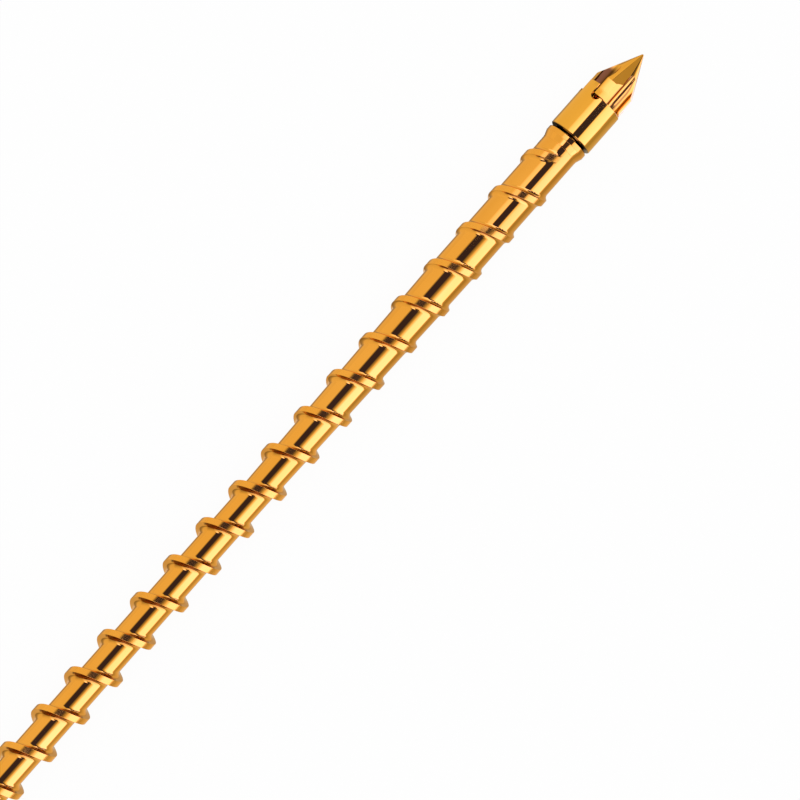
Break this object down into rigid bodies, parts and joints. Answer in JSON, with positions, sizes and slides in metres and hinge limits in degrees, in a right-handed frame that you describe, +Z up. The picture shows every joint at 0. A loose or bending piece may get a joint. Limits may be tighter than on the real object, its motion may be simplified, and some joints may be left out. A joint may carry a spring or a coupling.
{
  "type": "plasticising screw",
  "caption": "Long right-hand plasticising screw with a thickening core, splined drive shank and a winged nose with a sliding check ring.",
  "frame": {"origin": "on the axis, at the shoulder where the drive shank meets the sealing land", "axes": "+X along the axis towards the pointed tip, +Z up with the screw lying on its flights"},
  "size_m": [1.1464, 0.04, 0.04],
  "materials": {
    "screw_steel": "polished",
    "seat_steel": "polished",
    "ring_steel": "polished",
    "tip_steel": "polished"
  },
  "bodies": {
    "screw_body": {"screw": "screw_steel", "seat_ring": "seat_steel", "screw_tip": "tip_steel"},
    "ring_body": {"check_ring": "ring_steel"}
  },
  "joints": [
    {"name": "ring_slide", "type": "slide", "parent": "screw_body", "child": "ring_body", "axis": [1, 0, 0], "range_m": [-0.0026, 0]}
  ]
}
